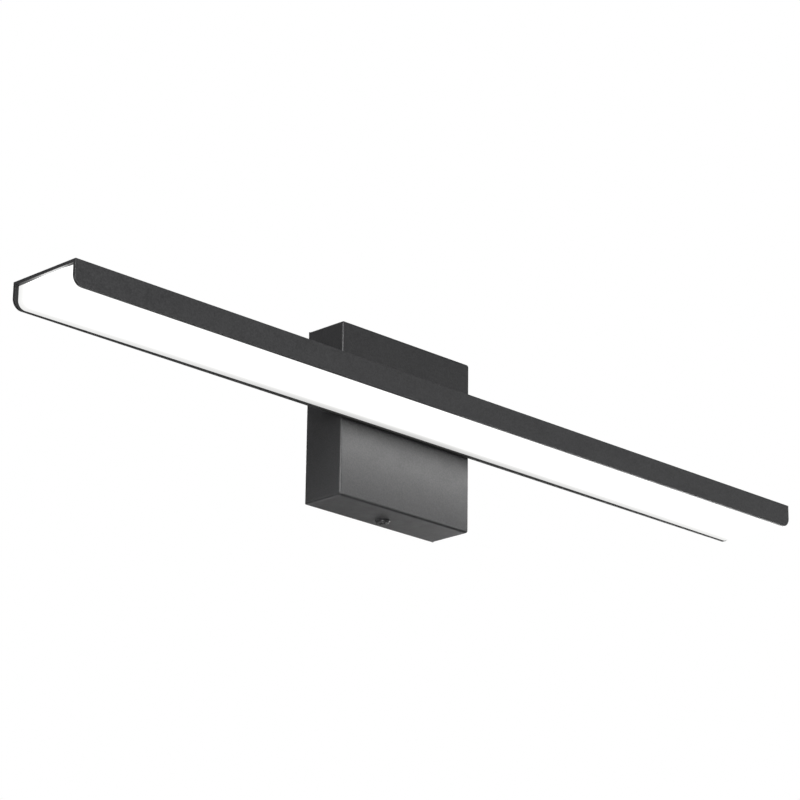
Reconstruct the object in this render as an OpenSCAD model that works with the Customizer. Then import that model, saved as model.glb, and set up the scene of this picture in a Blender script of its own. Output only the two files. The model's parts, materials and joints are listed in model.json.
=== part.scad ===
// Vanity light bar for a bathroom wall, in millimetres.
// The wall is the plane y = 0, the room is towards -Y, +X runs along the bar and +Z is up.
// The origin is the centre of the wall bracket's screw pattern, on the wall.

/* [Light bar] */
// Length of the bar
bar_len = 610; // [400:10:1200]
// Depth of the bar, from its rear flange to its front flange
bar_depth = 53; // [50:1:60]
// Height of the bar
bar_h = 15.5; // [15:0.5:20]
// Thickness of the aluminium channel
bar_wall = 2; // [1.6:0.1:2.2]
// Radius of the channel's lower end corners
flange_corner_r = 6; // [3:0.5:7]
// Radius of the channel's long outer edges
bar_edge_r = 0.5; // [0.3:0.1:1]

/* [Diffuser] */
// Thickness of the opal diffuser
diffuser_wall = 2; // [1.5:0.1:2.5]
// Distance from the channel's end to the diffuser's end
diffuser_inset = 1.9; // [1:0.1:4]
// Clearance between the diffuser and the channel's flanges
diffuser_gap = 0.1; // [0.05:0.05:0.3]

/* [Light engine] */
// LED packages on one board
leds_per_board = 24; // [6:1:48]
// Distance between the two rows of boards
row_spacing = 22; // [20:1:24]
// Width of an LED board
board_w = 12; // [8:1:12]

/* [Canopy] */
// Width and height of the square canopy
canopy_w = 110; // [110:1:130]
// Depth of the canopy, from the wall to its front face
canopy_d = 30; // [30:1:45]
// Thickness of the canopy's steel sheet
canopy_wall = 1.2; // [0.8:0.1:1.4]
// Outer bend radius of the canopy's edges
canopy_r = 2; // [1.6:0.1:3]
// Gap between the canopy and the bar
spacer_t = 2; // [2:0.5:6]

/* [Wall bracket] */
// Thickness of the bracket's steel plate
bracket_t = 1.5; // [1.2:0.1:2]
// Width of the bracket
bracket_w = 98; // [96:1:104]
// Diameter of the supply wire hole
wire_hole_d = 38; // [25:1:42]
// Distance between the two junction box screws, in the middle of their slots
box_screw_spacing = 79.4; // [78:0.1:80]
// Length of a junction box screw slot, from end to end
box_slot_len = 15; // [8:0.5:15]
// Width of a junction box screw slot
box_slot_w = 4.6; // [4.4:0.1:5]
// Distance between the wall anchor holes, across and up
anchor_spacing = 80; // [76:1:80]
// Diameter of a wall anchor hole
anchor_hole_d = 4.5; // [4:0.1:5]

/* [Lock screws] */
// Height of the captive washer and screw head above the canopy
lock_head_h = 1.4; // [1:0.1:2.5]
// Diameter of the lock screw's head
lock_head_d = 8; // [7:0.1:8.5]
// Diameter of the captive washer
lock_washer_d = 9.4; // [9:0.1:10]

/* [Hidden] */
$fn = 48;
E = 0.01;

BLACK = [0.10, 0.10, 0.105];
OPAL = [0.96, 0.96, 0.95];
ZINC = [0.72, 0.73, 0.74];
RAW_ALUMINIUM = [0.80, 0.81, 0.82];
BRASS = [0.78, 0.62, 0.30];
BOARD_WHITE = [0.92, 0.92, 0.90];
BOARD_GREEN = [0.10, 0.35, 0.18];
CASE_WHITE = [0.88, 0.88, 0.86];
RUBBER_BLACK = [0.06, 0.06, 0.06];

// Light bar: section and places
bar_back_y = -canopy_d - spacer_t;
bar_mid_y = bar_back_y - bar_depth / 2;
channel_in_w = bar_depth - 2 * bar_wall;
channel_in_h = bar_h - bar_wall;
roof_z = bar_h / 2 - bar_wall;
groove_h = 1;
groove_deep = 0.5;
groove_z = -bar_h / 2 + 5.5;
pad_h = 1.5;
pad_w = 3;
pad_offset = 18;
middle_pad_w = 8;

// Diffuser
diffuser_w = channel_in_w - 2 * diffuser_gap;
diffuser_len = bar_len - 2 * diffuser_inset;
diffuser_top_z = roof_z - 0.2;
diffuser_h = diffuser_top_z + bar_h / 2;
diffuser_corner_r = flange_corner_r - 1;
diffuser_edge_r = 0.8;
bead_h = 0.7;
bead_out = 0.4;

// Light engine, from the roof of the channel down
tray_t = 1;
tray_w = channel_in_w - 2 * diffuser_wall - 1;
tray_len = diffuser_len - 2 * diffuser_wall - 6;
tray_top_z = roof_z - pad_h;
tray_lip_h = 1.2;
tape_t = 0.2;
tape_w = board_w - 2;
board_t = 1;
board_gap = 4;
board_len = (tray_len - board_gap) / 2 - 2;
board_z = tray_top_z - tray_t - tape_t - board_t;
led_l = 3.5;
led_w = 2.8;
led_t = 0.7;
tray_screw_step = 0.26 * bar_len;
tray_screw_x = [for (i = [-1.5:1:1.5]) i * tray_screw_step];

// Bar mounting: two screws from inside the canopy
mount_x = 30;
m4_r = 2;
m4_clear_r = 2.2;
clinch_r = 3.5;
clinch_spigot_r = 2.8;
clinch_len = 2.4;
mount_screw_len = 8;
spacer_w = 80;
spacer_h = 14;
cable_hole_r = 4;

// Canopy
canopy_in = canopy_w - 2 * canopy_wall;
canopy_back_y = -canopy_d + canopy_wall;
lock_y = -10.5;
lock_nut_w = 7;
lock_nut_t = 3.2;
tab_gap = 0.2;

// Wall bracket
tab_out_z = canopy_in / 2 - lock_nut_t - tab_gap;
tab_w = 30;
tab_depth = 15;
bend_r = 2;
plate_h = 2 * (tab_out_z - bend_r);
ground_x = 27;
ground_z = -27;
boss_h = 2;

// Lock screws
lock_washer_t = 0.5;
lock_tip_gap = 0.05;
lock_shank_r = m4_r - 0.05;
lock_shank_len = canopy_w / 2 + lock_washer_t - tab_out_z - lock_tip_gap;

// Driver, above the bar mounting screws
driver_l = 76;
driver_h = 33;
driver_z = 25.5;
driver_case_d = 20;
driver_lid_t = 2;
driver_wall = 1.5;
driver_ear_l = 9;
driver_ear_t = 2.5;
driver_ear_w = 14;
driver_stud_x = driver_l / 2 + 4.5;
pcb_t = 1.6;
pcb_l = driver_l - 2 * driver_wall - 1;
pcb_h = driver_h - 2 * driver_wall - 1;
standoff_h = 2;
standoff_r = 1.8;
standoff_in = 4;
pcb_y = canopy_back_y + driver_wall + standoff_h;
part_y = pcb_y + pcb_t;
lead_hole_r = 1.6;
lead_z = [driver_z + 5, driver_z - 5];
lead_y = part_y + 4;

// Terminal block, below the bar mounting screws
block_w = 29;
block_h = 20;
block_d = 14;
block_z = -27;
pole_pitch = 9;
block_stud_x = pole_pitch / 2;
entry_y = canopy_back_y + 6;
block_top_z = block_z + block_h / 2;

// Canopy studs
m3_r = 1.5;
m3_nut_af = 5.5;
m3_nut_h = 2.4;
m3_washer_r = 3.5;
m3_washer_t = 0.5;
earth_x = -38;
earth_z = -36;
earth_stud_len = 8;
barrel_y = canopy_back_y + 1.7;

// Routes of the leads, each a list of points along the lead's middle
lead_r = 1;
led_lead_r = 0.75;

// A lead's end on the driver's board, up from the board and out through the end of the case
function driver_end(side, z) = [
    [side * 30, part_y + 0.4, z], [side * 30, part_y + 1.6, z], [side * 32.5, lead_y, z],
    [side * (driver_l / 2 + 3), lead_y, z]
];

// A lead's end inside one pole of the terminal block
function pole_end(x) = [
    [x, entry_y, block_top_z + 1], [x, entry_y, block_top_z - 3], [x, entry_y, block_top_z - 7]
];

live_route = concat(
    driver_end(-1, lead_z[0]),
    [[-47, -16, 24], [-48.5, -14, 10], [-44, -14, -4], [-28, -15, -9], [-14, -18, -11], [-9.5, -21, -14]],
    pole_end(-pole_pitch)
);
neutral_route = concat(
    driver_end(-1, lead_z[1]),
    [[-44, -17, 16], [-45, -16.5, 6], [-36, -17, -3], [-12, -17.5, -6.5], [4, -18.5, -8], [8.5, -21, -12]],
    pole_end(pole_pitch)
);
earth_route = [
    [earth_x, barrel_y, -29.5], [earth_x, barrel_y, -24.5], [-37.4, -27, -19], [-33, -27, -15.5],
    [-25, -27, -14], [-16, -27, -12], [-8, -27, -11.5], [-2, -25.5, -12.5],
    each pole_end(0)
];
plus_route = concat(
    driver_end(1, lead_z[0]),
    [
        [47, -17, 24], [48, -15.5, 12], [43, -15, 1], [28, -15.5, -1.5], [10, -17, -2.2],
        [4.5, -19, -1.8], [1.4, -23.5, -0.4], [0.9, -27, 0], [0.9, -34, 0],
        [1.3, -38, 0], [3, -41.5, 0.5], [5, -43.5, 1.2]
    ]
);
minus_route = concat(
    driver_end(1, lead_z[1]),
    [
        [43, -18.5, 14], [42, -18, 6], [30, -18.5, 1.5], [8, -19.5, 1.4], [1, -21, 1.1],
        [-0.9, -24.5, 0.2], [-0.9, -27, 0], [-0.9, -34, 0],
        [-1.3, -38, 0], [-3, -41.5, 0.5], [-5, -43.5, 1.2]
    ]
);

// ---------------------------------------------------------------- helpers

// Draws a (y, z) section and runs it along X, centred on x = 0
module along_x(length) {
    rotate([90, 0, 90]) linear_extrude(height = length, center = true) children();
}

// Draws an (x, z) outline and runs it from y = 0 towards the room
module along_y(length) {
    rotate([90, 0, 0]) linear_extrude(height = length) children();
}

module rounded_rect(w, h, r) {
    square([w - 2 * r, h], center = true);
    square([w, h - 2 * r], center = true);
    for (sx = [-1, 1]) {
        for (sy = [-1, 1]) {
            translate([sx * (w / 2 - r), sy * (h / 2 - r)]) circle(r);
        }
    }
}

// A rectangle whose two lower corners are round, with its lower edge at y = -h / 2
module round_bottom_rect(w, h, r) {
    translate([-w / 2, -h / 2 + r]) square([w, h - r]);
    translate([-w / 2 + r, -h / 2]) square([w - 2 * r, h]);
    for (sx = [-1, 1]) translate([sx * (w / 2 - r), -h / 2 + r]) circle(r);
}

module slot_outline(length, w) {
    square([length - w, w], center = true);
    for (sx = [-1, 1]) translate([sx * (length - w) / 2, 0]) circle(w / 2);
}

// A round hole along Y from y0, of the given length towards the room
module hole_y(x, y0, z, r, length) {
    translate([x, y0, z]) rotate([90, 0, 0]) cylinder(h = length, r = r);
}

module hex_nut(af, h, bore_r) {
    difference() {
        cylinder(h = h, r = af / sqrt(3), $fn = 6);
        translate([0, 0, -1]) cylinder(h = h + 2, r = bore_r);
    }
}

module washer(r, bore_r, t) {
    difference() {
        cylinder(h = t, r = r);
        translate([0, 0, -1]) cylinder(h = t + 2, r = bore_r);
    }
}

// A cross recess, open at z = 0 and cut downwards
module cross_recess(size, deep) {
    for (a = [0, 90]) {
        rotate([0, 0, a]) translate([-size / 2, -size / 10, -deep]) cube([size, size / 5, deep + 1]);
    }
}

// A domed head on z = 0 with its shank towards -Z
module cross_screw(shank_r, shank_len, head_r, head_h) {
    dome_r = (head_r * head_r + head_h * head_h) / (2 * head_h) * 1.6;
    difference() {
        rotate_extrude() {
            intersection() {
                square([head_r, head_h]);
                translate([0, head_h - dome_r]) circle(dome_r, $fn = 96);
            }
        }
        translate([0, 0, head_h]) cross_recess(head_r * 1.15, head_h * 0.7);
    }
    translate([0, 0, -shank_len]) cylinder(h = shank_len + E, r = shank_r);
}

// A screw that points towards the room, with its head's seat at y0
module screw_to_room(x, y0, z, shank_r, shank_len, head_r, head_h) {
    translate([x, y0, z]) rotate([-90, 0, 0]) cross_screw(shank_r, shank_len, head_r, head_h);
}

// ---------------------------------------------------------------- leads

function unit(v) = v / norm(v);

function spline_point(a, b, c, d, t) =
    b + t / 2 * ((c - a) + t * ((2 * a - 5 * b + 4 * c - d) + t * (3 * b - a - 3 * c + d)));

function smooth(route, steps) =
    let (last = len(route) - 1)
    concat(
        [
            for (i = [0:last - 1])
                for (s = [0:steps - 1])
                    spline_point(
                        route[max(i - 1, 0)], route[i], route[i + 1], route[min(i + 2, last)], s / steps
                    )
        ],
        [route[last]]
    );

function tangents(path) =
    let (last = len(path) - 1)
    [for (i = [0:last]) unit(path[min(i + 1, last)] - path[max(i - 1, 0)])];

// Carries a normal along the path, so that the tube doesn't twist
function normals(tangent, n, i = 0) =
    i == len(tangent)
    ? []
    : let (m = unit(n - (n * tangent[i]) * tangent[i])) concat([m], normals(tangent, m, i + 1));

module tube(route, r, steps = 4, sides = 8) {
    path = smooth(route, steps);
    tangent = tangents(path);
    normal = normals(tangent, [0.3, 0.2, 1]);
    rings = len(path);
    points = [
        for (i = [0:rings - 1])
            for (k = [0:sides - 1])
                path[i] + r * (cos(360 * k / sides) * normal[i]
                    + sin(360 * k / sides) * cross(tangent[i], normal[i]))
    ];
    faces = concat(
        [[for (k = [0:sides - 1]) k]],
        [
            for (i = [0:rings - 2])
                for (k = [0:sides - 1])
                    let (a = i * sides + k, b = i * sides + (k + 1) % sides)
                    [a, a + sides, b + sides, b]
        ],
        [[for (k = [sides - 1:-1:0]) (rings - 1) * sides + k]]
    );
    polyhedron(points, faces, convexity = 10);
}

// ---------------------------------------------------------------- wall bracket

module bracket_section() {
    difference() {
        translate([-tab_depth, 0]) rounded_rect(2 * tab_depth, 2 * tab_out_z, bend_r);
        translate([-tab_depth - bracket_t, 0])
            rounded_rect(2 * tab_depth, 2 * (tab_out_z - bracket_t), bend_r - bracket_t);
        translate([-3 * tab_depth, -tab_out_z - 1]) square([2 * tab_depth, 2 * tab_out_z + 2]);
    }
}

module wall_bracket() {
    color(ZINC) difference() {
        union() {
            along_x(tab_w) bracket_section();
            along_y(bracket_t) rounded_rect(bracket_w, plate_h, 4);
            hole_y(ground_x, -bracket_t + E, ground_z, 4.2, boss_h);
        }
        hole_y(0, 1, 0, wire_hole_d / 2, 5);
        for (sx = [-1, 1]) {
            translate([sx * box_screw_spacing / 2, 1, 0]) along_y(5) slot_outline(box_slot_len, box_slot_w);
            for (sz = [-1, 1]) {
                hole_y(sx * anchor_spacing / 2, 1, sz * anchor_spacing / 2, anchor_hole_d / 2, 5);
            }
        }
        hole_y(ground_x, 1, ground_z, m4_r, 8);
    }
}

module bracket_ground_screw() {
    seat_y = -bracket_t - boss_h;
    color("green") translate([ground_x, seat_y, ground_z]) rotate([90, 0, 0])
        cross_screw(m4_r - 0.02, bracket_t + boss_h - 0.2, 4, 2.4);
}

// ---------------------------------------------------------------- canopy

// A (y, z) section from the wall at y = 0 to y = -d, rounded at the room side
module side_section(w, d, r) {
    translate([r - d, -w / 2]) square([d - r, w]);
    translate([-d, r - w / 2]) square([r + E, w - 2 * r]);
    for (s = [-1, 1]) translate([r - d, s * (w / 2 - r)]) circle(r);
}

// A square block on the wall with its other edges rounded
module rounded_block(w, d, r) {
    intersection() {
        along_y(d) rounded_rect(w, w, r);
        along_x(w) side_section(w, d, r);
        linear_extrude(height = w, center = true) rotate(90) side_section(w, d, r);
    }
}

module canopy() {
    color(BLACK) difference() {
        rounded_block(canopy_w, canopy_d, canopy_r);
        translate([0, 1, 0]) rounded_block(canopy_in, canopy_d - canopy_wall + 1, canopy_r - canopy_wall);
        for (sx = [-1, 1]) hole_y(sx * mount_x, canopy_back_y + 1, 0, m4_clear_r, 4);
        hole_y(0, canopy_back_y + 1, 0, cable_hole_r, 4);
        translate([0, lock_y, -canopy_w]) cylinder(h = 2 * canopy_w, r = m4_clear_r);
    }
}

module canopy_lock_nuts() {
    color(ZINC) for (sz = [-1, 1]) {
        translate([0, lock_y, sz * (canopy_in - lock_nut_t) / 2]) difference() {
            cube([lock_nut_w, lock_nut_w, lock_nut_t], center = true);
            cylinder(h = lock_nut_t + 2, r = m4_r, center = true);
        }
    }
}

// A plain stud welded to the inside of the canopy's front wall
module stud(x, z, r, length) {
    translate([x, canopy_back_y, z]) rotate([-90, 0, 0]) cylinder(h = length, r = r);
}

module driver_studs() {
    color(ZINC) for (sx = [-1, 1]) stud(sx * driver_stud_x, driver_z, m3_r, driver_ear_t + m3_nut_h + 2);
}

module terminal_studs() {
    color(ZINC) for (sx = [-1, 1]) stud(sx * block_stud_x, block_z, m3_r, block_d + m3_nut_h + 1);
}

module earth_stud() {
    color(ZINC) stud(earth_x, earth_z, m4_r, earth_stud_len);
}

// ---------------------------------------------------------------- driver

// An (x, z) outline that starts at y0 and runs towards the wall
module toward_wall(y0, length) {
    translate([0, y0 + length, 0]) along_y(length) children();
}

// The same, centred on the driver
module driver_plate(y0, length) {
    toward_wall(y0, length) translate([0, driver_z]) children();
}

// A post in the driver's case that the circuit board rests on
module standoff(x, z) {
    translate([x, canopy_back_y + driver_wall - E, z]) rotate([-90, 0, 0])
        cylinder(h = standoff_h + E, r = standoff_r);
}

module driver_case() {
    color(CASE_WHITE) {
        difference() {
            union() {
                driver_plate(canopy_back_y, driver_case_d) rounded_rect(driver_l, driver_h, 2);
                driver_plate(canopy_back_y, driver_ear_t)
                    rounded_rect(driver_l + 2 * driver_ear_l, driver_ear_w, 3);
            }
            driver_plate(canopy_back_y + driver_wall, driver_case_d)
                rounded_rect(driver_l - 2 * driver_wall, driver_h - 2 * driver_wall, 0.8);
            for (sx = [-1, 1]) hole_y(sx * driver_stud_x, canopy_back_y + 4, driver_z, m3_r + 0.2, 6);
            for (z = lead_z) {
                translate([0, lead_y, z]) rotate([0, 90, 0])
                    cylinder(h = driver_l + 2, r = lead_hole_r, center = true);
            }
        }
        for (sx = [-1, 1]) {
            for (sz = [-1, 1]) {
                standoff(sx * (pcb_l / 2 - standoff_in), driver_z + sz * (pcb_h / 2 - standoff_in));
            }
        }
    }
}

module driver_lid() {
    lid_y = canopy_back_y + driver_case_d;
    lip_l = driver_l - 2 * driver_wall - 0.2;
    lip_h = driver_h - 2 * driver_wall - 0.2;
    color(CASE_WHITE) {
        driver_plate(lid_y, driver_lid_t) rounded_rect(driver_l, driver_h, 2);
        difference() {
            driver_plate(lid_y - 1.5, 1.5 + E) rounded_rect(lip_l, lip_h, 0.8);
            driver_plate(lid_y - 2.5, 2.5) rounded_rect(lip_l - 2, lip_h - 2, 0.5);
        }
    }
}

module driver_board() {
    color(BOARD_GREEN) driver_plate(pcb_y, pcb_t) rounded_rect(pcb_l, pcb_h, 0.8);
}

// A box that stands on the driver's board, centred on (x, driver_z + z)
module board_box(x, z, size_x, size_z, h) {
    translate([x - size_x / 2, part_y, driver_z + z - size_z / 2]) cube([size_x, h, size_z]);
}

// Turns a shape drawn upright on z = 0 so that it stands on the driver's board
module on_board(x, z) {
    translate([x, part_y, driver_z + z]) rotate([-90, 0, 0]) children();
}

module driver_transformer() {
    color([0.75, 0.62, 0.16]) {
        difference() {
            board_box(2, 0, 16, 14, 13);
            translate([-4, part_y + 3, driver_z - 8]) cube([12, 7, 16]);
        }
        translate([2, part_y + 6.5, driver_z - 6.5]) cylinder(h = 13, r = 3.4);
    }
}

// An electrolytic can with its crimped groove and a rounded rim
module can(r, h) {
    rotate_extrude() {
        square([r, h * 0.14]);
        square([r - 0.4, h * 0.2]);
        translate([0, h * 0.2 - E]) square([r, h * 0.8 - 0.5 + E]);
        translate([0, h - 0.6]) square([r - 0.5, 0.6]);
    }
}

module driver_capacitors() {
    color([0.12, 0.13, 0.16]) {
        on_board(-17, 4) can(5, 13);
        on_board(22, -4) can(4, 12);
    }
}

module driver_choke() {
    color([0.25, 0.22, 0.2]) on_board(14.5, 6.5) rotate_extrude() {
        square([4, 1]);
        square([3, 8]);
        translate([0, 7]) square([4, 1]);
    }
}

module driver_small_parts() {
    color([0.15, 0.15, 0.15]) {
        board_box(-24.5, -6, 6, 8, 4);
        board_box(-17, -8, 7, 5, 2);
        board_box(-9.5, -8, 4, 4, 5);
        board_box(26, 8, 7, 4, 3);
        board_box(15, -9, 5, 4, 2);
        on_board(-10, 9) can(2.4, 9);
    }
}

module driver_washers() {
    color(ZINC) for (sx = [-1, 1]) {
        translate([sx * driver_stud_x, canopy_back_y + driver_ear_t, driver_z]) rotate([-90, 0, 0])
            washer(m3_washer_r, m3_r + 0.1, m3_washer_t);
    }
}

module driver_nuts() {
    nut_y = canopy_back_y + driver_ear_t + m3_washer_t;
    color(ZINC) for (sx = [-1, 1]) {
        translate([sx * driver_stud_x, nut_y, driver_z]) rotate([-90, 0, 0])
            hex_nut(m3_nut_af, m3_nut_h, m3_r + E);
    }
}

// ---------------------------------------------------------------- terminal block

pole_x = [-pole_pitch, 0, pole_pitch];
clamp_dz = 5.5;
insert_w = 5;
insert_d = 6;
insert_h = block_h - 3;

module terminal_body() {
    color(BOARD_WHITE) difference() {
        toward_wall(canopy_back_y, block_d) translate([0, block_z]) rounded_rect(block_w, block_h, 1);
        for (x = pole_x) {
            translate([x - insert_w / 2, entry_y - insert_d / 2, block_z - block_h])
                cube([insert_w, insert_d, 2 * block_h]);
            for (s = [-1, 1]) {
                hole_y(x, canopy_back_y + block_d + 1, block_z + s * clamp_dz, 1.9, block_d / 2);
            }
        }
        for (sx = [-1, 1]) {
            hole_y(sx * block_stud_x, canopy_back_y + block_d + 1, block_z, m3_r + E, block_d + 2);
        }
    }
}

module terminal_inserts() {
    color(BRASS) for (x = pole_x) {
        difference() {
            translate([x, entry_y, block_z]) cube([insert_w, insert_d, insert_h], center = true);
            translate([x, entry_y, block_z - block_h]) cylinder(h = 2 * block_h, r = 1.7);
            for (s = [-1, 1]) hole_y(x, entry_y + insert_d, block_z + s * clamp_dz, 1.25, insert_d);
        }
    }
}

module terminal_screws() {
    seat_y = entry_y + insert_d / 2 + 1.5;
    shank_len = seat_y - entry_y - lead_r - 0.05;
    color(ZINC) for (x = pole_x) {
        for (s = [-1, 1]) screw_to_room(x, seat_y, block_z + s * clamp_dz, 1.2, shank_len, 1.7, 1.2);
    }
}

module terminal_nuts() {
    color(ZINC) for (sx = [-1, 1]) {
        translate([sx * block_stud_x, canopy_back_y + block_d, block_z]) rotate([-90, 0, 0])
            hex_nut(m3_nut_af, m3_nut_h, m3_r + E);
    }
}

// ---------------------------------------------------------------- wiring

module live_lead() {
    color([0.08, 0.08, 0.08]) tube(live_route, lead_r);
}

module neutral_lead() {
    color([0.93, 0.93, 0.93]) tube(neutral_route, lead_r);
}

module earth_lead() {
    color([0.35, 0.62, 0.15]) tube(earth_route, lead_r);
}

module led_plus_lead() {
    color([0.75, 0.08, 0.06]) tube(plus_route, led_lead_r);
}

module led_minus_lead() {
    color([0.08, 0.08, 0.08]) tube(minus_route, led_lead_r);
}

module earth_lug() {
    color(ZINC) {
        difference() {
            union() {
                translate([earth_x, canopy_back_y, earth_z]) rotate([-90, 0, 0]) cylinder(h = 0.8, r = 4);
                translate([earth_x - 1.5, canopy_back_y, earth_z]) cube([3, 0.8, 7]);
                translate([earth_x, barrel_y, earth_z + 6]) cylinder(h = 5, r = 1.6);
            }
            hole_y(earth_x, canopy_back_y + 2, earth_z, m4_r + 0.1, 4);
            translate([earth_x, barrel_y, earth_z + 5]) cylinder(h = 7, r = lead_r + 0.05);
        }
    }
}

module earth_nut() {
    color(ZINC) translate([earth_x, canopy_back_y + 0.8, earth_z]) rotate([-90, 0, 0])
        hex_nut(7, 3.2, m4_r + E);
}

module cable_grommet() {
    color(RUBBER_BLACK) translate([0, canopy_back_y, 0]) rotate([-90, 0, 0]) difference() {
        union() {
            cylinder(h = 1.5, r = cable_hole_r + 1.5);
            translate([0, 0, -canopy_wall - E]) cylinder(h = canopy_wall + 2 * E, r = cable_hole_r - 0.05);
            translate([0, 0, -canopy_wall - 1.4]) cylinder(h = 1.4, r = cable_hole_r + 1);
        }
        translate([0, 0, -10]) cylinder(h = 20, r = 2.4);
    }
}

// ---------------------------------------------------------------- bar mounting

module spacer_plate() {
    color(BLACK) translate([0, -canopy_d, 0]) difference() {
        along_y(spacer_t) rounded_rect(spacer_w, spacer_h, 3);
        for (sx = [-1, 1]) hole_y(sx * mount_x, 1, 0, m4_clear_r, spacer_t + 2);
        hole_y(0, 1, 0, cable_hole_r + 1.3, spacer_t + 2);
    }
}

module bar_mount_screws() {
    color(ZINC) for (sx = [-1, 1]) {
        screw_to_room(sx * mount_x, canopy_back_y, 0, m4_r - 0.02, mount_screw_len, 4, 2.4);
    }
}

module clinch_nuts() {
    color(ZINC) for (sx = [-1, 1]) {
        difference() {
            union() {
                hole_y(sx * mount_x, bar_back_y, 0, clinch_spigot_r - 0.02, bar_wall + E);
                hole_y(sx * mount_x, bar_back_y - bar_wall, 0, clinch_r, clinch_len);
            }
            hole_y(sx * mount_x, bar_back_y + 1, 0, m4_r, bar_wall + clinch_len + 2);
        }
    }
}

// ---------------------------------------------------------------- light bar

// The channel's (y, z) section, centred on the bar
module channel_section() {
    difference() {
        rounded_rect(bar_depth, bar_h, bar_edge_r);
        translate([-channel_in_w / 2, -bar_h / 2 - 1]) square([channel_in_w, channel_in_h + 1]);
        for (s = [-1, 1]) {
            translate([s * channel_in_w / 2, groove_z]) square([2 * groove_deep, groove_h], center = true);
        }
    }
}

// The raised pads that the LED tray is screwed against
module pad_section() {
    translate([-middle_pad_w / 2, tray_top_z]) square([middle_pad_w, pad_h + E]);
    for (s = [-1, 1]) translate([s * pad_offset - pad_w / 2, tray_top_z]) square([pad_w, pad_h + E]);
}

module bar_housing() {
    color(BLACK) difference() {
        union() {
            intersection() {
                translate([0, bar_mid_y, 0]) along_x(bar_len) channel_section();
                translate([0, bar_back_y + 1, 0]) along_y(bar_depth + 2)
                    round_bottom_rect(bar_len, bar_h, flange_corner_r);
            }
            translate([0, bar_mid_y, 0]) along_x(tray_len) pad_section();
        }
        for (sx = [-1, 1]) hole_y(sx * mount_x, bar_back_y + 1, 0, clinch_spigot_r, bar_wall + 2);
        hole_y(0, bar_back_y + 1, 0, cable_hole_r - 1, bar_wall + 2);
        for (x = tray_screw_x) {
            translate([x, bar_mid_y, tray_top_z - 1]) cylinder(h = 4, r = m3_r);
        }
    }
}

// The opal sheet's (y, z) section, with its lower edges rounded
module sheet_section() {
    bottom = -bar_h / 2;
    half = diffuser_w / 2;
    translate([-half, bottom + diffuser_edge_r]) square([diffuser_w, diffuser_h - diffuser_edge_r]);
    translate([-half + diffuser_edge_r, bottom]) square([diffuser_w - 2 * diffuser_edge_r, diffuser_h]);
    for (s = [-1, 1]) {
        translate([s * (half - diffuser_edge_r), bottom + diffuser_edge_r]) circle(diffuser_edge_r);
    }
}

// The (x, z) outline of the space inside the bent sheet
module inside_sheet() {
    translate([0, diffuser_wall])
        round_bottom_rect(diffuser_len - 2 * diffuser_wall, bar_h, diffuser_corner_r - diffuser_wall);
}

// One opal sheet, bent up at both ends
module diffuser() {
    color(OPAL) difference() {
        intersection() {
            translate([0, bar_mid_y, 0]) along_x(diffuser_len) sheet_section();
            translate([0, bar_back_y, 0]) along_y(bar_depth)
                round_bottom_rect(diffuser_len, bar_h, diffuser_corner_r);
        }
        translate([0, bar_back_y, 0]) along_y(bar_depth) inside_sheet();
    }
}

// A side strip, cemented to the sheet, with the bead that snaps into the channel: s is -1 (front) or 1 (rear)
module diffuser_side(s) {
    outer_y = bar_mid_y + s * diffuser_w / 2;
    bead_len = diffuser_len - 2 * diffuser_corner_r;
    color(OPAL) {
        translate([0, max(outer_y, outer_y - s * diffuser_wall), 0]) along_y(diffuser_wall) intersection() {
            inside_sheet();
            translate([-diffuser_len / 2, -bar_h / 2]) square([diffuser_len, diffuser_h]);
        }
        translate([0, outer_y, groove_z]) cube([bead_len, 2 * bead_out, bead_h], center = true);
    }
}

module diffuser_side_front() { diffuser_side(-1); }

// The rear strip is notched for the clinch nuts and the LED leads
module diffuser_side_rear() {
    color(OPAL) difference() {
        diffuser_side(1);
        for (notch = [[-mount_x, 10], [0, 8], [mount_x, 10]]) {
            translate([notch[0] - notch[1] / 2, bar_back_y - bar_depth / 4, -4.5])
                cube([notch[1], bar_depth / 2, bar_h]);
        }
    }
}

module led_tray() {
    base_z = tray_top_z - tray_t;
    color(RAW_ALUMINIUM) difference() {
        translate([0, bar_mid_y, 0]) along_x(tray_len) {
            translate([-tray_w / 2, base_z]) square([tray_w, tray_t]);
            for (y = [-tray_w / 2, tray_w / 2 - tray_t]) {
                translate([y, base_z]) square([tray_t, tray_t + tray_lip_h]);
            }
        }
        for (x = tray_screw_x) {
            translate([x, bar_mid_y, base_z - 1]) cylinder(h = 4, r = m3_r + 0.2);
        }
    }
}

module tray_screws() {
    color(ZINC) for (x = tray_screw_x) {
        translate([x, bar_mid_y, tray_top_z - tray_t]) rotate([180, 0, 0])
            cross_screw(m3_r - 0.02, 3.8, 2.75, 1.8);
    }
}

// A strip centred on one board: side is -1 or 1 along X, row is -1 (front) or 1 (rear)
module board_strip(side, row, length, w, z, t) {
    x = side * (board_gap + board_len) / 2;
    translate([x - length / 2, bar_mid_y + row * row_spacing / 2 - w / 2, z]) cube([length, w, t]);
}

module thermal_tapes() {
    color([0.85, 0.85, 0.8]) for (side = [-1, 1]) {
        for (row = [-1, 1]) board_strip(side, row, board_len - 4, tape_w, board_z + board_t, tape_t);
    }
}

module led_board(side, row) {
    color(BOARD_WHITE) board_strip(side, row, board_len, board_w, board_z, board_t);
}

module leds(side, row) {
    pitch = board_len / leds_per_board;
    color([0.95, 0.85, 0.35]) for (i = [0:leds_per_board - 1]) {
        translate([(i - (leds_per_board - 1) / 2) * pitch, 0, 0])
            board_strip(side, row, led_l, led_w, board_z - led_t, led_t);
    }
}

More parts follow.
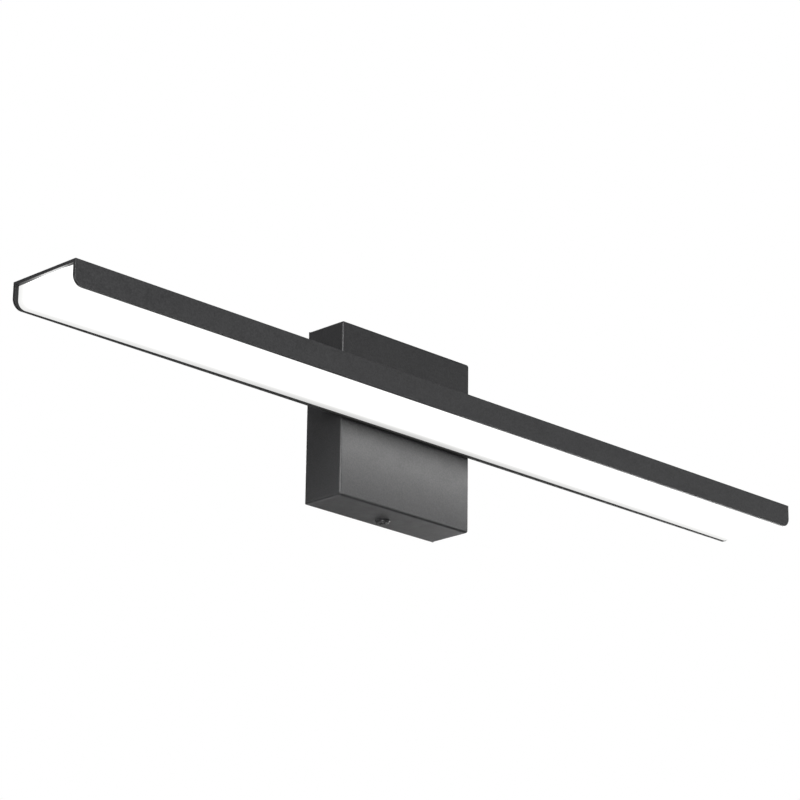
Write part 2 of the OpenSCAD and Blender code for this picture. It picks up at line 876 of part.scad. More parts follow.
module led_board_front_left() { led_board(-1, -1); }
module led_board_front_right() { led_board(1, -1); }
module led_board_rear_left() { led_board(-1, 1); }
module led_board_rear_right() { led_board(1, 1); }
module leds_front_left() { leds(-1, -1); }
module leds_front_right() { leds(1, -1); }
module leds_rear_left() { leds(-1, 1); }
module leds_rear_right() { leds(1, 1); }

module board_jumpers() {
    low_z = board_z - 1.2;
    pad_z = board_z - 0.55;
    color([0.93, 0.93, 0.93]) for (s = [-7, 7]) {
        along = bar_mid_y + s;
        tube([[-4.5, along, pad_z], [-2, along, low_z], [2, along, low_z], [4.5, along, pad_z]], 0.5);
        translate([s, bar_mid_y, 0])
            tube([[0, -7, pad_z], [0, -4, low_z], [0, 4, low_z], [0, 7, pad_z]], 0.5);
    }
}

// ---------------------------------------------------------------- lock screws

// Places a screw drawn head up on the canopy's top, or on its underside where up is false
module at_lock(up, out) {
    translate([0, lock_y, (up ? 1 : -1) * (canopy_w / 2 + out)]) rotate([up ? 0 : 180, 0, 0]) children();
}

module lock_screw() {
    cross_screw(lock_shank_r, lock_shank_len, lock_head_d / 2, lock_head_h);
}

module lock_washer() {
    washer(lock_washer_d / 2, m4_r + 0.1, lock_washer_t);
}

module lock_screw_bottom() {
    color(BLACK) at_lock(false, lock_washer_t) lock_screw();
}

module lock_screw_top() {
    color(BLACK) at_lock(true, lock_washer_t) lock_screw();
}

module lock_washer_bottom() {
    color(BLACK) at_lock(false, 0) lock_washer();
}

module lock_washer_top() {
    color(BLACK) at_lock(true, 0) lock_washer();
}

// ---------------------------------------------------------------- the whole light

wall_bracket();
bracket_ground_screw();
canopy();
canopy_lock_nuts();
driver_studs();
terminal_studs();
earth_stud();
driver_case();
driver_lid();
driver_board();
driver_transformer();
driver_capacitors();
driver_choke();
driver_small_parts();
driver_nuts();
driver_washers();
terminal_body();
terminal_inserts();
terminal_screws();
terminal_nuts();
live_lead();
neutral_lead();
earth_lead();
earth_lug();
earth_nut();
led_plus_lead();
led_minus_lead();
cable_grommet();
spacer_plate();
bar_mount_screws();
clinch_nuts();
bar_housing();
diffuser();
diffuser_side_front();
diffuser_side_rear();
led_tray();
tray_screws();
thermal_tapes();
led_board_front_left();
led_board_front_right();
led_board_rear_left();
led_board_rear_right();
leds_front_left();
leds_front_right();
leds_rear_left();
leds_rear_right();
board_jumpers();
lock_screw_bottom();
lock_screw_top();
lock_washer_bottom();
lock_washer_top();
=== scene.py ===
"""Vanity light bar: the visible pieces, their materials, the light and the camera, in metres."""

import json
import math

import bmesh
import bpy
from mathutils import Matrix, Vector


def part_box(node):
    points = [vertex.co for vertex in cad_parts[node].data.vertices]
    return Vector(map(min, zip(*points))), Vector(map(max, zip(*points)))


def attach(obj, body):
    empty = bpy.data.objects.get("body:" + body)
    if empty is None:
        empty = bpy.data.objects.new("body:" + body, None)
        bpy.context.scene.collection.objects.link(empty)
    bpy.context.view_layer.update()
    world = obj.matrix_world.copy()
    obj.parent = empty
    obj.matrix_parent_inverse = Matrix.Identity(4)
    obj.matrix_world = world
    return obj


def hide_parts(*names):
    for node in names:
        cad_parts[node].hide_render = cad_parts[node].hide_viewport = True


MM = 0.001
# Edges sharper than this many degrees are rounded
SHARP_ANGLE = 35
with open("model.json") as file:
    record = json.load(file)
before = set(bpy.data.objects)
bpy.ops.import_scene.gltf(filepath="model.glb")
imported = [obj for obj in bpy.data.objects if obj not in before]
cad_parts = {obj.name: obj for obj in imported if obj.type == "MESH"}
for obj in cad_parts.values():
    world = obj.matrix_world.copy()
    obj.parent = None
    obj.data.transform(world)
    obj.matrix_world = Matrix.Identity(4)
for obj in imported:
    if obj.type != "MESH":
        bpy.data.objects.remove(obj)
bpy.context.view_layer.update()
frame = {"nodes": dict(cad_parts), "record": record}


# ---------------------------------------------------------------- geometry helpers


def add_object(name, verts, faces):
    """A mesh object in the row frame, from vertices in metres."""
    mesh = bpy.data.meshes.new(name)
    mesh.from_pydata([Vector(v) for v in verts], [], faces)
    bm = bmesh.new()
    bm.from_mesh(mesh)
    bmesh.ops.recalc_face_normals(bm, faces=bm.faces)
    bm.to_mesh(mesh)
    bm.free()
    obj = bpy.data.objects.new(name, mesh)
    bpy.context.scene.collection.objects.link(obj)
    return obj


def shade_smooth(obj):
    obj.data.polygons.foreach_set("use_smooth", [True] * len(obj.data.polygons))


def round_edges(obj, width, segments, by_weight=False):
    """Rounds an object's edges: the sharp ones, or those that have a bevel weight."""
    bevel = obj.modifiers.new("edge_rounding", "BEVEL")
    bevel.width = width
    bevel.segments = segments
    bevel.limit_method = "WEIGHT" if by_weight else "ANGLE"
    bevel.angle_limit = math.radians(SHARP_ANGLE)
    bevel.use_clamp_overlap = True


def set_bevel_weights(obj, weight_of):
    """Gives each sharp edge its share of the bevel's width, by weight_of(vertex, vertex)."""
    bm = bmesh.new()
    bm.from_mesh(obj.data)
    sharp = [edge.calc_face_angle(0) > math.radians(SHARP_ANGLE) for edge in bm.edges]
    bm.free()
    weights = obj.data.attributes.new("bevel_weight_edge", "FLOAT", "EDGE")
    for edge in obj.data.edges:
        weights.data[edge.index].value = weight_of(*edge.vertices) if sharp[edge.index] else 0


def flatten_shading(obj):
    """Smooth shading that keeps large flat faces flat."""
    shade_smooth(obj)
    weighted = obj.modifiers.new("weighted_normals", "WEIGHTED_NORMAL")
    weighted.mode = "FACE_AREA_WITH_ANGLE"
    weighted.weight = 80
    weighted.keep_sharp = True


def bake_modifiers(obj):
    """Replaces an object's mesh with what its modifiers make of it."""
    depsgraph = bpy.context.evaluated_depsgraph_get()
    mesh = bpy.data.meshes.new_from_object(obj.evaluated_get(depsgraph))
    obj.modifiers.clear()
    obj.data = mesh


def cut(obj, tool):
    """Subtracts tool from obj and deletes tool."""
    boolean = obj.modifiers.new("cut", "BOOLEAN")
    boolean.operation = "DIFFERENCE"
    boolean.solver = "EXACT"
    boolean.object = tool
    bake_modifiers(obj)
    bpy.data.objects.remove(tool)


def finish_piece(obj, body, node, slot):
    """Ties a finer piece to its body, the CAD node it stands for and its finish."""
    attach(obj, body)
    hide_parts(node)
    assign(obj, FINISH[slot])


def arc(cx, cz, radius, start, end, steps):
    """Points along an arc, with its angles in degrees."""
    angles = [math.radians(start + (end - start) * i / steps) for i in range(steps + 1)]
    return [(cx + radius * math.cos(a), cz + radius * math.sin(a)) for a in angles]


def lower_outline(half, bottom, radius, middle=0, steps=14):
    """The lower part of a bar's (x, z) outline, from its left side round to its right side."""
    left = arc(-half + radius, bottom + radius, radius, 180, 270, steps)
    right = arc(half - radius, bottom + radius, radius, 270, 360, steps)
    reach = half - radius
    between = [(-reach + 2 * reach * (i + 1) / (middle + 1), bottom) for i in range(middle)]
    return left + between + right


def extrude_outline(name, outline, y0, y1):
    """An (x, z) outline run from y0 to y1."""
    n = len(outline)
    verts = [(x, y, z) for y in (y0, y1) for x, z in outline]
    faces = [tuple(range(n)), tuple(range(n, 2 * n))]
    faces += [(i, (i + 1) % n, n + (i + 1) % n, n + i) for i in range(n)]
    return add_object(name, verts, faces)


def strip(first, second, count):
    """Quads between two rows of vertices that start at the given indices."""
    return [(first + i, first + i + 1, second + i + 1, second + i) for i in range(count - 1)]


def ring_surface(name, rings):
    """A closed surface through rings of equal count, with a point at each end."""
    count = len(rings[0])
    verts = [point for ring in rings for point in ring]
    first_end = sum((Vector(p) for p in rings[0]), Vector()) / count
    last_end = sum((Vector(p) for p in rings[-1]), Vector()) / count
    verts += [first_end, last_end]
    faces = []
    for i in range(len(rings) - 1):
        for k in range(count):
            a, b = i * count + k, i * count + (k + 1) % count
            faces.append((a, b, b + count, a + count))
    last = (len(rings) - 1) * count
    for k in range(count):
        faces.append((k, (k + 1) % count, len(verts) - 2))
        faces.append((last + k, last + (k + 1) % count, len(verts) - 1))
    return add_object(name, verts, faces)


def turn_profile(profile, count):
    """Rings for a profile of (radius, z) points turned about Z."""
    rings = []
    for radius, z in profile:
        angles = [2 * math.pi * k / count for k in range(count)]
        rings.append([(radius * math.cos(a), radius * math.sin(a), z) for a in angles])
    return rings


def place(obj, origin, direction):
    """Turns an object's mesh so that its Z axis points in direction, and moves it to origin."""
    turn = Vector(direction).to_track_quat("Z", "Y").to_matrix().to_4x4()
    obj.data.transform(Matrix.Translation(origin) @ turn)


# ---------------------------------------------------------------- material helpers


def principled(name, color, roughness, metallic=0.0):
    """A new material, its node tree and its shader."""
    material = bpy.data.materials.new(name)
    material.use_nodes = True
    shader = material.node_tree.nodes["Principled BSDF"]
    shader.inputs["Base Color"].default_value = (*color, 1)
    shader.inputs["Roughness"].default_value = roughness
    shader.inputs["Metallic"].default_value = metallic
    return material, material.node_tree, shader


def object_coords(tree):
    return tree.nodes.new("ShaderNodeTexCoord").outputs["Object"]


def noise(tree, coords, feature, detail=2.0, stretch=None):
    """Noise whose features are about the given size in metres."""
    if stretch:
        mapping = tree.nodes.new("ShaderNodeMapping")
        mapping.inputs["Scale"].default_value = stretch
        tree.links.new(coords, mapping.inputs["Vector"])
        coords = mapping.outputs["Vector"]
    texture = tree.nodes.new("ShaderNodeTexNoise")
    texture.inputs["Scale"].default_value = 1 / feature
    texture.inputs["Detail"].default_value = detail
    tree.links.new(coords, texture.inputs["Vector"])
    return texture.outputs["Fac"]


def crystals(tree, coords, feature):
    """A shade for each small crystal of a plated surface."""
    texture = tree.nodes.new("ShaderNodeTexVoronoi")
    texture.inputs["Scale"].default_value = 1 / feature
    tree.links.new(coords, texture.inputs["Vector"])
    split = tree.nodes.new("ShaderNodeSeparateColor")
    tree.links.new(texture.outputs["Color"], split.inputs["Color"])
    return split.outputs["Red"]


def spread(tree, value, low, high, from_low=0.3, from_high=0.7):
    """Maps a value to the range low to high, where high may be another node's output."""
    mapped = tree.nodes.new("ShaderNodeMapRange")
    mapped.inputs["From Min"].default_value = from_low
    mapped.inputs["From Max"].default_value = from_high
    mapped.inputs["To Min"].default_value = low
    if isinstance(high, bpy.types.NodeSocket):
        tree.links.new(high, mapped.inputs["To Max"])
    else:
        mapped.inputs["To Max"].default_value = high
    tree.links.new(value, mapped.inputs["Value"])
    return mapped.outputs["Result"]


def math_node(tree, operation, *values):
    """The result of an operation on numbers or other nodes' outputs."""
    node = tree.nodes.new("ShaderNodeMath")
    node.operation = operation
    for i, value in enumerate(values):
        if isinstance(value, bpy.types.NodeSocket):
            tree.links.new(value, node.inputs[i])
        else:
            node.inputs[i].default_value = value
    return node.outputs["Value"]


def color_between(tree, value, first, second):
    mix = tree.nodes.new("ShaderNodeMix")
    mix.data_type = "RGBA"
    mix.inputs["A"].default_value = (*first, 1)
    mix.inputs["B"].default_value = (*second, 1)
    tree.links.new(value, mix.inputs["Factor"])
    return mix.outputs["Result"]


def set_color(tree, shader, value, first, second):
    """Lets a value choose the shader's colour between two colours."""
    tree.links.new(color_between(tree, value, first, second), shader.inputs["Base Color"])


def set_roughness(tree, shader, value):
    tree.links.new(value, shader.inputs["Roughness"])


def soft_edges(tree, shader, radius):
    """Rounds the edges that a CAD solid leaves sharp, in its shading."""
    bevel = tree.nodes.new("ShaderNodeBevel")
    bevel.samples = 4
    bevel.inputs["Radius"].default_value = radius
    tree.links.new(bevel.outputs["Normal"], shader.inputs["Normal"])


def add_bump(tree, shader, height, distance):
    """Adds a bump under any normal that the shader already has."""
    bump = tree.nodes.new("ShaderNodeBump")
    bump.inputs["Distance"].default_value = distance
    bump.inputs["Strength"].default_value = 1
    tree.links.new(height, bump.inputs["Height"])
    before = shader.inputs["Normal"].links
    if before:
        tree.links.new(before[0].from_socket, bump.inputs["Normal"])
    tree.links.new(bump.outputs["Normal"], shader.inputs["Normal"])


def shade(color, factor):
    return tuple(c * factor for c in color)


def assign(obj, material):
    obj.data.materials.clear()
    obj.data.materials.append(material)


# ---------------------------------------------------------------- materials

COAT_BLACK = (0.026, 0.026, 0.027)


def powder_coat(name):
    """Satin black powder coat: fine grain, slow orange peel and a slightly uneven gloss."""
    material, tree, shader = principled(name, COAT_BLACK, 0.45)
    coords = object_coords(tree)
    grain = noise(tree, coords, 0.9 * MM, detail=3)
    cloud = noise(tree, coords, 9 * MM, detail=3)
    set_color(tree, shader, spread(tree, grain, 0, 1), shade(COAT_BLACK, 0.7), shade(COAT_BLACK, 1.3))
    set_roughness(tree, shader, spread(tree, cloud, 0.41, 0.5))
    add_bump(tree, shader, noise(tree, coords, 2.4 * MM, detail=1), 0.025 * MM)
    add_bump(tree, shader, grain, 0.025 * MM)
    return material


# The diffuser's brightness
OPAL_STRENGTH = 6.6
# The shares of it left at the rear edge, at mid-length and at the ends, and how far in the fade reaches:
# painted shade of the rear flange on the glow, deeper at mid-length
REAR_SHARES = (0.09, 0.118)
REAR_FADE = 22 * MM
# The share left at the front edge, and its fade: painted shade of the front flange on the glow
FRONT_SHARE = 0.16
FRONT_FADE = 12 * MM
FADE_POWER = 2.5


def opal_light():
    """Opal acrylic lit from inside, dimmer along its long edges with painted shade of the flanges.

    Its own light outshines what it reflects, so its reflections are faint.
    """
    material, tree, shader = principled("opal_light", (0.1, 0.1, 0.1), 0.8)
    low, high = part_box("diffuser")
    coords = object_coords(tree)
    split = tree.nodes.new("ShaderNodeSeparateXYZ")
    tree.links.new(coords, split.inputs["Vector"])
    from_middle = math_node(tree, "ABSOLUTE", split.outputs["X"])
    # Painted shade: the glow dims towards the rear and front edges, where the flanges stand
    rear_share = spread(tree, from_middle, *REAR_SHARES, 0, high.x)
    from_rear = spread(tree, split.outputs["Y"], 1, 0, high.y - REAR_FADE, high.y)
    rear = spread(tree, math_node(tree, "POWER", from_rear, FADE_POWER), 1, rear_share, 1, 0)
    from_front = spread(tree, split.outputs["Y"], 0, 1, low.y, low.y + FRONT_FADE)
    front = spread(tree, math_node(tree, "POWER", from_front, FADE_POWER), FRONT_SHARE, 1, 0, 1)
    grain = spread(tree, noise(tree, coords, 30 * MM, detail=2), 0.98, 1.0)
    share = math_node(tree, "MULTIPLY", math_node(tree, "MULTIPLY", rear, front), grain)
    glow = color_between(tree, share, (0, 0, 0), (1, 1, 0.99))
    tree.links.new(glow, shader.inputs["Emission Color"])
    shader.inputs["Emission Strength"].default_value = OPAL_STRENGTH
    shader.inputs["Specular IOR Level"].default_value = 0.1
    return material


def plated(name, color):
    """Zinc or a similar plating: small bright and dull crystals on metal."""
    material, tree, shader = principled(name, color, 0.35, metallic=1.0)
    coords = object_coords(tree)
    cell = crystals(tree, coords, 0.5 * MM)
    cloud = noise(tree, coords, 6 * MM, detail=3)
    blend = color_between(tree, cell, shade(color, 0.9), color)
    tint = color_between(tree, spread(tree, cloud, 0, 0.25), (1, 1, 1), (0.92, 0.90, 0.84))
    mix = tree.nodes.new("ShaderNodeMix")
    mix.data_type = "RGBA"
    mix.blend_type = "MULTIPLY"
    mix.inputs["Factor"].default_value = 1
    tree.links.new(blend, mix.inputs["A"])
    tree.links.new(tint, mix.inputs["B"])
    tree.links.new(mix.outputs["Result"], shader.inputs["Base Color"])
    set_roughness(tree, shader, spread(tree, cell, 0.28, 0.42, 0, 1))
    soft_edges(tree, shader, 0.25 * MM)
    add_bump(tree, shader, cell, 0.01 * MM)
    return material


def brushed(name, color, along, roughness):
    """Drawn or brushed metal, with fine lines in one direction."""
    material, tree, shader = principled(name, color, roughness, metallic=1.0)
    lines = noise(tree, object_coords(tree), 0.35 * MM, detail=4, stretch=along)
    set_color(tree, shader, spread(tree, lines, 0, 1), shade(color, 0.82), color)
    set_roughness(tree, shader, spread(tree, lines, roughness - 0.06, roughness + 0.08))
    soft_edges(tree, shader, 0.2 * MM)
    add_bump(tree, shader, lines, 0.01 * MM)
    return material


def painted(name, color, roughness, metallic=0.0):
    """Paint or a chemical finish on a small metal part, a little worn."""
    material, tree, shader = principled(name, color, roughness, metallic)
    coords = object_coords(tree)
    worn = noise(tree, coords, 1.5 * MM, detail=4)
    set_color(tree, shader, spread(tree, worn, 0, 1), shade(color, 0.8), shade(color, 1.25))
    set_roughness(tree, shader, spread(tree, worn, roughness - 0.06, roughness + 0.08))
    soft_edges(tree, shader, 0.15 * MM)
    add_bump(tree, shader, noise(tree, coords, 0.4 * MM), 0.01 * MM)
    return material


def moulded(name, color, roughness, grain=0.5 * MM):
    """Moulded plastic or rubber: a fine spark-eroded texture and slow flow marks."""
    material, tree, shader = principled(name, color, roughness)
    coords = object_coords(tree)
    flow = noise(tree, coords, 12 * MM, detail=2)
    texture = noise(tree, coords, grain, detail=3)
    set_color(tree, shader, spread(tree, flow, 0, 1), shade(color, 0.94), color)
    set_roughness(tree, shader, spread(tree, texture, roughness - 0.05, roughness + 0.08))
    soft_edges(tree, shader, 0.3 * MM)
    add_bump(tree, shader, texture, 0.015 * MM)
    return material


def circuit_board(name, color):
    """Solder mask over faint copper areas."""
    material, tree, shader = principled(name, color, 0.35)
    coords = object_coords(tree)
    copper = tree.nodes.new("ShaderNodeTexVoronoi")
    copper.distance = "MANHATTAN"
    copper.inputs["Scale"].default_value = 1 / (6 * MM)
    tree.links.new(coords, copper.inputs["Vector"])
    area = spread(tree, copper.outputs["Distance"], 0, 1, 0.35, 0.4)
    set_color(tree, shader, area, shade(color, 1.08), shade(color, 0.88))
    set_roughness(tree, shader, spread(tree, noise(tree, coords, 0.8 * MM), 0.3, 0.4))
    add_bump(tree, shader, area, 0.03 * MM)
    return material


def wound(name, color):
    """A winding under tape: fine turns with a slight overlap."""
    material, tree, shader = principled(name, color, 0.4)
    coords = object_coords(tree)
    wave = tree.nodes.new("ShaderNodeTexWave")
    wave.bands_direction = "Z"
    wave.inputs["Scale"].default_value = 1 / (2.2 * MM)
    wave.inputs["Distortion"].default_value = 0.4
    tree.links.new(coords, wave.inputs["Vector"])
    set_color(tree, shader, wave.outputs["Fac"], shade(color, 0.8), color)
    set_roughness(tree, shader, spread(tree, noise(tree, coords, 1.2 * MM), 0.32, 0.5))
    add_bump(tree, shader, wave.outputs["Fac"], 0.05 * MM)
    return material


def lead_jacket(name, color):
    """The PVC jacket of a small wire: smooth, with faint drawing lines."""
    material, tree, shader = principled(name, color, 0.38)
    coords = object_coords(tree)
    slow = noise(tree, coords, 4 * MM, detail=2)
    set_color(tree, shader, spread(tree, slow, 0, 1), shade(color, 0.88), color)
    set_roughness(tree, shader, spread(tree, noise(tree, coords, 0.7 * MM), 0.32, 0.46))
    add_bump(tree, shader, noise(tree, coords, 0.5 * MM, detail=3), 0.01 * MM)
    return material


# Painted shade: the inside and lower edge of the rear flange, darker than the satin coat outside to stand
# for the shade there
CHANNEL_PAINTED_SHADE = painted("channel_painted_shade", (0.005, 0.005, 0.005), 0.6)
FINISH = {
    "bar_coat": powder_coat("bar_powder_coat"),
    "canopy_coat": powder_coat("canopy_powder_coat"),
    "screw_black": painted("screw_black_oxide", (0.02, 0.02, 0.021), 0.4, metallic=0.2),
    "opal": opal_light(),
    "zinc": plated("zinc_plate", (0.60, 0.61, 0.63)),
    "ground_green": painted("ground_screw_green", (0.02, 0.25, 0.07), 0.35, metallic=0.3),
    "raw_aluminium": brushed("mill_aluminium", (0.76, 0.77, 0.78), (0.04, 1, 1), 0.34),
    "brass": brushed("terminal_brass", (0.75, 0.56, 0.24), (1, 1, 0.06), 0.3),
    "board_white": circuit_board("led_board_mask", (0.86, 0.86, 0.84)),
    "board_green": circuit_board("driver_board_mask", (0.02, 0.16, 0.06)),
    "led_package": moulded("led_phosphor", (0.88, 0.68, 0.12), 0.3, grain=0.15 * MM),
    "case_white": moulded("driver_case_plastic", (0.78, 0.78, 0.75), 0.48),
    "block_white": moulded("terminal_block_plastic", (0.82, 0.82, 0.79), 0.4),
    "ferrite": wound("transformer_tape", (0.72, 0.52, 0.08)),
    "can_sleeve": lead_jacket("capacitor_sleeve", (0.03, 0.035, 0.06)),
    "component_black": moulded("component_epoxy", (0.03, 0.03, 0.03), 0.42, grain=0.25 * MM),
    "thermal_tape": moulded("thermal_tape", (0.72, 0.72, 0.68), 0.6, grain=0.3 * MM),
    "rubber_black": moulded("grommet_rubber", (0.02, 0.02, 0.02), 0.62, grain=0.3 * MM),
    "lead_black": lead_jacket("lead_black", (0.018, 0.018, 0.02)),
    "lead_white": lead_jacket("lead_white", (0.82, 0.82, 0.80)),
    "lead_green": lead_jacket("lead_green", (0.10, 0.33, 0.05)),
    "lead_red": lead_jacket("lead_red", (0.48, 0.02, 0.02)),
}

# Every CAD node gets its finish, whether or not a finer piece stands for it later
for subpart in frame["record"]["subparts"]:
    assign(frame["nodes"][subpart["node"]], FINISH[subpart["material_slot"]])


# ---------------------------------------------------------------- light bar

BAR_WALL = 2 * MM
FLANGE_CORNER_R = 6 * MM
BAR_EDGE_R = 0.7 * MM
FLANGE_BOTTOM_R = 0.9 * MM
# How far the front flange's lower edge is above the rear one's
FRONT_LIFT = 0.45 * MM
DIFFUSER_WALL = 2 * MM
DIFFUSER_CORNER_R = 5 * MM
DIFFUSER_EDGE_R = 0.5 * MM
DIFFUSER_GAP = 0.35 * MM
# How far the long sheet bows up at mid-length
DIFFUSER_RISE = 0.8 * MM
DIFFUSER_STEPS = 30
NOTCH_BOTTOM_Z = -3.7 * MM
# The middle and width of each notch in the rear strip
NOTCHES = ((30 * MM, 10 * MM), (0, 8 * MM), (-30 * MM, 10 * MM))


def channel_faces(starts, n_in):
    """The channel's faces, between four rows of vertices that start at the given indices.

    The two inner rows have n_in vertices each, and the outer ones have one more at each end.
    """
    front_out, front_in, rear_in, rear_out = starts
    n_out = n_in + 2
    faces = [tuple(range(front_out, front_out + n_out)), tuple(range(rear_out, rear_out + n_out))]
    faces += [tuple(range(front_in, front_in + n_in)), tuple(range(rear_in, rear_in + n_in))]
    faces += strip(front_out + 1, front_in, n_in)
    faces += strip(rear_out + 1, rear_in, n_in)
    faces.append((front_out, rear_out, rear_out + n_out - 1, front_out + n_out - 1))
    faces.append((front_in, front_in + n_in - 1, rear_in + n_in - 1, rear_in))
    faces.append((front_out, front_out + 1, front_in, rear_in, rear_out + 1, rear_out))
    right_end = [front_out + n_out - 1, front_out + n_out - 2, front_in + n_in - 1]
    right_end += [rear_in + n_in - 1, rear_out + n_out - 2, rear_out + n_out - 1]
    faces.append(tuple(right_end))
    return faces


def paint_channel_shade(housing, rear_y):
    """Paints shade on the inside and lower edge of the rear flange, as a near-black material of their own.
    """
    housing.data.materials.append(CHANNEL_PAINTED_SHADE)
    for face in housing.data.polygons:
        in_rear_flange = face.center.y > rear_y - BAR_WALL - 0.1 * MM
        if in_rear_flange and face.normal.y < 0.3 and face.normal.z < 0.5:
            face.material_index = 1


def make_bar_housing():
    """The channel: two flanges with rounded lower corners, a roof between them and open ends."""
    low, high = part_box("bar_housing")
    half, top, roof = high.x, high.z, high.z - BAR_WALL
    rear = [(-half, roof)] + lower_outline(half, low.z, FLANGE_CORNER_R) + [(half, roof)]
    front = [(-half, roof)] + lower_outline(half, low.z + FRONT_LIFT, FLANGE_CORNER_R) + [(half, roof)]
    rows = [
        (low.y, [(-half, top)] + front + [(half, top)]),
        (low.y + BAR_WALL, front),
        (high.y - BAR_WALL, rear),
        (high.y, [(-half, top)] + rear + [(half, top)]),
    ]
    verts, starts = [], []
    for y, outline in rows:
        starts.append(len(verts))
        verts += [(x, y, z) for x, z in outline]
    housing = add_object("light_bar_housing", verts, channel_faces(starts, len(front)))
    bend_top = low.z + FLANGE_CORNER_R

    def share_of_bottom_r(a, b):
        return 1.0 if max(verts[a][2], verts[b][2]) < bend_top else BAR_EDGE_R / FLANGE_BOTTOM_R

    set_bevel_weights(housing, share_of_bottom_r)
    round_edges(housing, FLANGE_BOTTOM_R, segments=4, by_weight=True)
    flatten_shading(housing)
    finish_piece(housing, "fixture", "bar_housing", "bar_coat")
    # Painted shade on the rear flange's inside and lower edge
    paint_channel_shade(housing, high.y)


def bowed(outline, half):
    """An outline whose middle is raised a little, as the long diffuser's is."""
    return [(x, z + DIFFUSER_RISE * (1 - (x / half) ** 2)) for x, z in outline]


def notches(top):
    """The rear strip's top edge, from right to left, with notches for the clinch nuts and the leads."""
    points = []
    for middle, width in NOTCHES:
        right, left = middle + width / 2, middle - width / 2
        points += [(right, top), (right, NOTCH_BOTTOM_Z), (left, NOTCH_BOTTOM_Z), (left, top)]
    return points


def make_diffuser():
    """The opal sheet, bent up at both ends, and the strip cemented along each side of it."""
    low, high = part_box("diffuser")
    bar_low, bar_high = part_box("bar_housing")
    y_front = bar_low.y + BAR_WALL + DIFFUSER_GAP
    y_rear = bar_high.y - BAR_WALL - DIFFUSER_GAP
    half, wall = high.x, DIFFUSER_WALL
    steps = DIFFUSER_STEPS
    outer = bowed(lower_outline(half, low.z, DIFFUSER_CORNER_R, middle=steps), half)
    inner = bowed(lower_outline(half - wall, low.z + wall, DIFFUSER_CORNER_R - wall, middle=steps), half)
    outer = [(-half, high.z)] + outer + [(half, high.z)]
    inner = [(wall - half, high.z)] + inner + [(half - wall, high.z)]
    sheet = extrude_outline("opal_sheet", outer + inner[::-1], y_front, y_rear)
    round_edges(sheet, DIFFUSER_EDGE_R, segments=4)
    flatten_shading(sheet)
    finish_piece(sheet, "fixture", "diffuser", "opal")
    front = extrude_outline("opal_front_strip", inner, y_front, y_front + wall)
    flatten_shading(front)
    finish_piece(front, "fixture", "diffuser_side_front", "opal")
    rear = extrude_outline("opal_rear_strip", inner + notches(high.z), y_rear - wall, y_rear)
    flatten_shading(rear)
    finish_piece(rear, "fixture", "diffuser_side_rear", "opal")


# ---------------------------------------------------------------- canopy and spacer

CANOPY_WALL = 1.2 * MM
CANOPY_SIDE_R = 1.8 * MM
CANOPY_LEVEL_R = 1.7 * MM
CANOPY_UPRIGHT_R = 1.3 * MM
RIM_R = 0.15 * MM
SPACER_CORNER_R = 3 * MM
SPACER_EDGE_R = 0.2 * MM
LOCK_Y = -10.5 * MM
LOCK_HOLE_R = 2.2 * MM


def square_corners(x, y, z):
    """The four corners of a rectangle in the plane y, anticlockwise from the lower left."""
    return [(-x, y, -z), (x, y, -z), (x, y, z), (-x, y, z)]


def canopy_edge_weight(a, b):
    """An edge's share of the side radius, from its two vertices.

    They come in fours: outer front, outer rim, inner front and inner rim.
    """
    rings = {a // 4, b // 4}
    if rings == {0, 1}:
        return 1.0
    if rings == {0}:
        radius = CANOPY_UPRIGHT_R if {a, b} in ({0, 3}, {1, 2}) else CANOPY_LEVEL_R
        return radius / CANOPY_SIDE_R
    if rings in ({2, 3}, {2}):
        return (CANOPY_SIDE_R - CANOPY_WALL) / CANOPY_SIDE_R
    return RIM_R / CANOPY_SIDE_R


def make_canopy():
    """The sheet steel box, open at the wall, with a hole for each lock screw."""
    low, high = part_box("canopy")
    wall = CANOPY_WALL
    verts = square_corners(high.x, low.y, high.z) + square_corners(high.x, high.y, high.z)
    verts += square_corners(high.x - wall, low.y + wall, high.z - wall)
    verts += square_corners(high.x - wall, high.y, high.z - wall)
    faces = [(0, 1, 2, 3), (8, 9, 10, 11)]
    for i in range(4):
        j = (i + 1) % 4
        faces += [(i, j, j + 4, i + 4), (i + 8, j + 8, j + 12, i + 12), (i + 4, j + 4, j + 12, i + 12)]
    canopy = add_object("canopy_box", verts, faces)
    set_bevel_weights(canopy, canopy_edge_weight)
    round_edges(canopy, CANOPY_SIDE_R, segments=5, by_weight=True)
    bake_modifiers(canopy)
    drill = turn_profile([(LOCK_HOLE_R, low.z * 1.2), (LOCK_HOLE_R, high.z * 1.2)], 40)
    tool = ring_surface("lock_drill", drill)
    tool.data.transform(Matrix.Translation((0, LOCK_Y, 0)))
    cut(canopy, tool)
    flatten_shading(canopy)
    finish_piece(canopy, "fixture", "canopy", "canopy_coat")


def make_spacer():
    """The recessed plate between the canopy and the bar, with its corners rounded."""
    low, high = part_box("spacer_plate")
    radius = SPACER_CORNER_R
    reach_x, reach_z = high.x - radius, high.z - radius
    outline = []
    for side_x, side_z, start in ((1, 1, 0), (-1, 1, 90), (-1, -1, 180), (1, -1, 270)):
        outline += arc(side_x * reach_x, side_z * reach_z, radius, start, start + 90, 8)
    spacer = extrude_outline("bar_spacer", outline, low.y, high.y)
    round_edges(spacer, SPACER_EDGE_R, segments=2)
    flatten_shading(spacer)
    finish_piece(spacer, "fixture", "spacer_plate", "canopy_coat")


# ---------------------------------------------------------------- screws and washers

THREAD_DEPTH = 0.28 * MM
THREAD_PITCH = 0.7 * MM
RINGS_PER_TURN = 8
SCREW_SIDES = 32
WASHER_SIDES = 48
